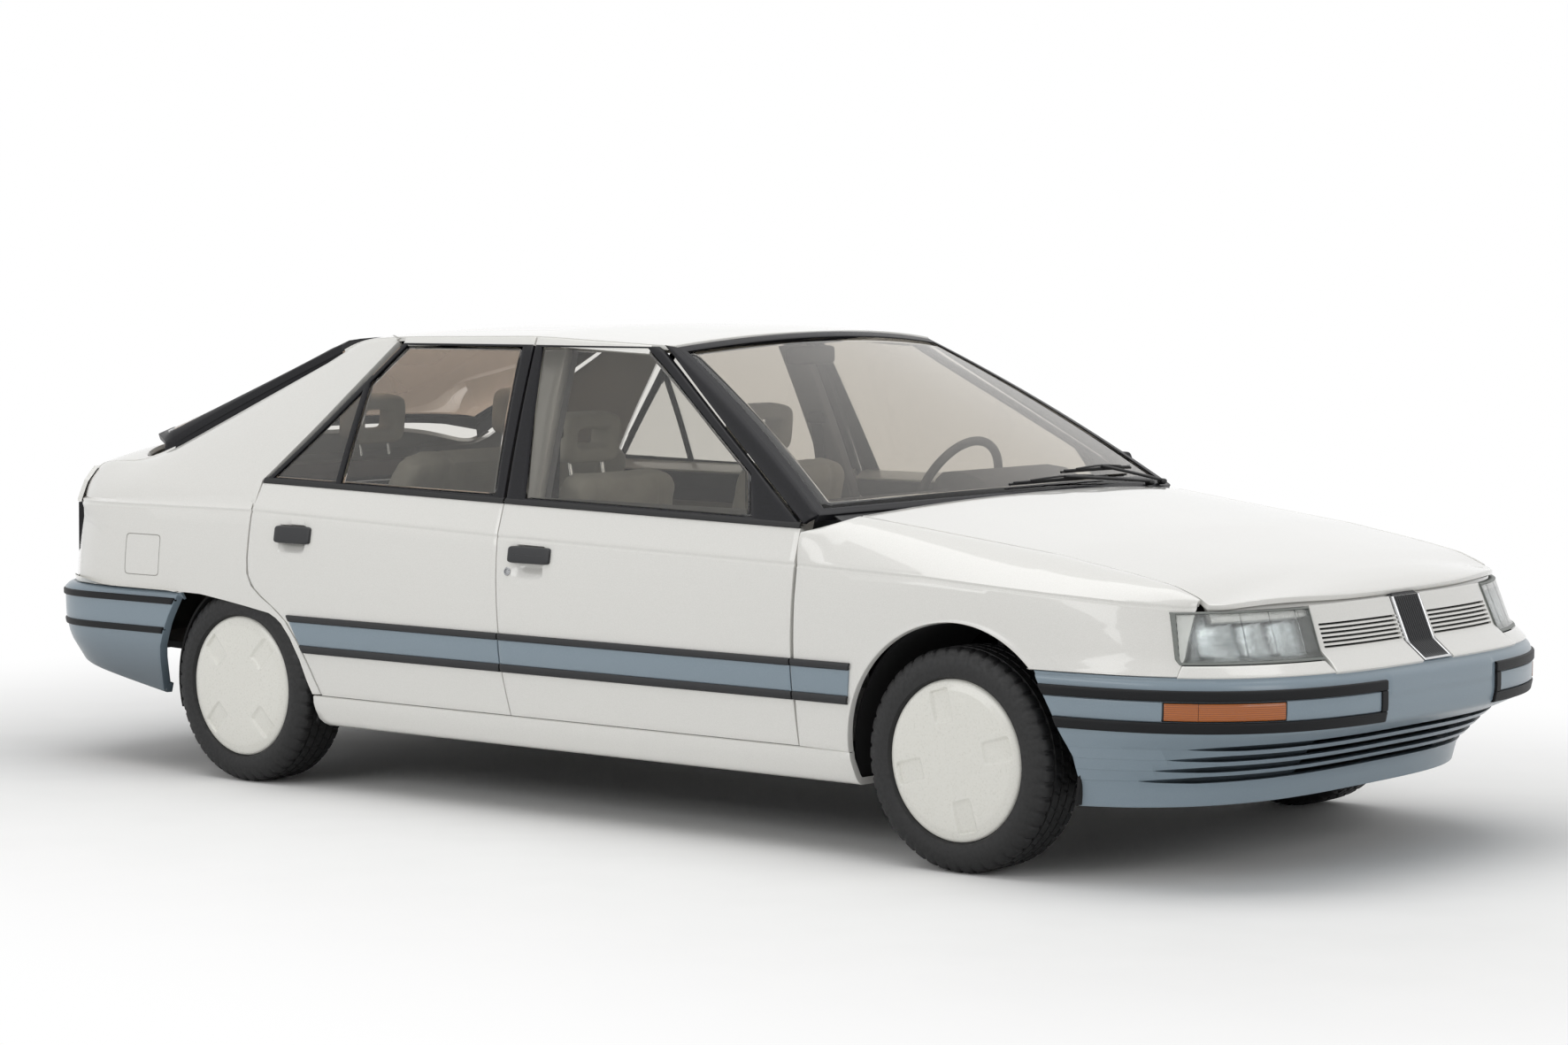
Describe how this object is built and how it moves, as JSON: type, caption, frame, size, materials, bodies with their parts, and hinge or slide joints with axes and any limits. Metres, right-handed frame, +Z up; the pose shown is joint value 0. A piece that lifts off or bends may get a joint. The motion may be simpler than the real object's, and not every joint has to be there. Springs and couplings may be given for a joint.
{
  "type": "five-door hatchback car",
  "caption": "Large five-door hatchback of the mid 1980s in pearl white, with blue-grey bumpers and side bands, flush wheel covers, cloth cabin, opening doors, hood and hatch",
  "frame": {"origin": "on the ground under the middle of the car, midway between the axles", "axes": "+X towards the nose, +Y to the car's left, +Z up"},
  "size_m": [4.7508, 1.8018, 1.4133],
  "materials": {
    "paint": "pearl white two-coat body paint, gloss",
    "bumper_blue": "blue-grey moulded bumper plastic, satin",
    "black_rubber": "black rubber strip",
    "satin_black": "satin black paint",
    "window_glass": "light bronze tinted glass",
    "lamp_glass": "clear fluted lamp glass",
    "amber_lens": "amber moulded lens",
    "red_lens": "dark red moulded lens",
    "underseal": "black underseal",
    "chassis_steel": "black painted steel",
    "engine_alloy": "cast alloy",
    "exhaust_steel": "dull steel",
    "seat_cloth": "grey-beige seat cloth",
    "cabin_plastic": "dark grey grained cabin plastic",
    "tyre_rubber": "black tyre rubber",
    "wheel_cover": "white painted full wheel cover"
  },
  "bodies": {
    "root": {"front_wings": "paint", "quarter_panels": "paint", "sills": "paint", "roof": "paint", "grille_panel": "paint", "tail_panel": "paint", "front_bumper": "bumper_blue", "rear_bumper": "bumper_blue", "bumper_strips": "black_rubber", "wipers": "black_rubber", "screen_surround": "satin_black", "grille_insert": "satin_black", "b_pillars": "satin_black", "windscreen": "window_glass", "headlamps": "lamp_glass", "indicators": "amber_lens", "tail_lamps": "red_lens", "floor_pan": "underseal", "arch_liners": "underseal", "front_subframe": "chassis_steel", "rear_axle": "chassis_steel", "engine": "engine_alloy", "exhaust": "exhaust_steel", "front_seats": "seat_cloth", "rear_bench": "seat_cloth", "dashboard": "cabin_plastic", "parcel_shelf": "cabin_plastic"},
    "door_front_right": {"door_front_right": "paint", "glass_front_right": "window_glass"},
    "door_front_left": {"door_front_left": "paint", "glass_front_left": "window_glass", "door_mirror_left": "satin_black"},
    "door_rear_right": {"door_rear_right": "paint", "glass_rear_right": "window_glass"},
    "door_rear_left": {"door_rear_left": "paint", "glass_rear_left": "window_glass"},
    "hood": {"hood": "paint"},
    "hatch": {"hatch": "paint", "hatch_glass": "window_glass"},
    "steer_right": {"knuckle_front_right": "chassis_steel"},
    "steer_left": {"knuckle_front_left": "chassis_steel"},
    "wheel_front_right": {"tyre_front_right": "tyre_rubber", "wheel_front_right": "wheel_cover"},
    "wheel_front_left": {"tyre_front_left": "tyre_rubber", "wheel_front_left": "wheel_cover"},
    "wheel_rear_right": {"tyre_rear_right": "tyre_rubber", "wheel_rear_right": "wheel_cover"},
    "wheel_rear_left": {"tyre_rear_left": "tyre_rubber", "wheel_rear_left": "wheel_cover"},
    "steering_wheel": {"steering_wheel": "cabin_plastic"}
  },
  "joints": [
    {"name": "door_front_right", "type": "hinge", "parent": "root", "child": "door_front_right", "pos_m": [0.861, -0.894, 0.6], "axis": [0, 0, 1], "range_deg": [0, 66]},
    {"name": "door_rear_right", "type": "hinge", "parent": "root", "child": "door_rear_right", "pos_m": [-0.233, -0.894, 0.6], "axis": [0, 0, 1], "range_deg": [0, 66]},
    {"name": "door_front_left", "type": "hinge", "parent": "root", "child": "door_front_left", "pos_m": [0.861, 0.894, 0.6], "axis": [0, 0, -1], "range_deg": [0, 66]},
    {"name": "door_rear_left", "type": "hinge", "parent": "root", "child": "door_rear_left", "pos_m": [-0.233, 0.894, 0.6], "axis": [0, 0, -1], "range_deg": [0, 66]},
    {"name": "hood", "type": "hinge", "parent": "root", "child": "hood", "pos_m": [0.986, 0, 0.955], "axis": [0, -1, 0], "range_deg": [0, 50]},
    {"name": "hatch", "type": "hinge", "parent": "root", "child": "hatch", "pos_m": [-1.186, 0, 1.396], "axis": [0, 1, 0], "range_deg": [0, 70]},
    {"name": "steering", "type": "hinge", "parent": "root", "child": "steering_wheel", "pos_m": [0.47, 0.33, 0.89], "axis": [-0.9136, 0, 0.4067], "range_deg": [-500, 500]},
    {"name": "steer_right", "type": "hinge", "parent": "root", "child": "steer_right", "pos_m": [1.4, -0.724, 0.298], "axis": [0, 0, 1], "range_deg": [-33, 33]},
    {"name": "roll_front_right", "type": "hinge", "parent": "steer_right", "child": "wheel_front_right", "pos_m": [1.4, -0.784, 0.298], "axis": [0, 1, 0], "continuous": true},
    {"name": "roll_rear_right", "type": "hinge", "parent": "root", "child": "wheel_rear_right", "pos_m": [-1.4, -0.772, 0.298], "axis": [0, 1, 0], "continuous": true},
    {"name": "steer_left", "type": "hinge", "parent": "root", "child": "steer_left", "pos_m": [1.4, 0.724, 0.298], "axis": [0, 0, 1], "range_deg": [-33, 33]},
    {"name": "roll_front_left", "type": "hinge", "parent": "steer_left", "child": "wheel_front_left", "pos_m": [1.4, 0.784, 0.298], "axis": [0, 1, 0], "continuous": true},
    {"name": "roll_rear_left", "type": "hinge", "parent": "root", "child": "wheel_rear_left", "pos_m": [-1.4, 0.772, 0.298], "axis": [0, 1, 0], "continuous": true}
  ],
  "couplings": [
    {"joint": "steer_right", "follows": "steering", "ratio": 0.066},
    {"joint": "steer_left", "follows": "steering", "ratio": 0.066}
  ]
}
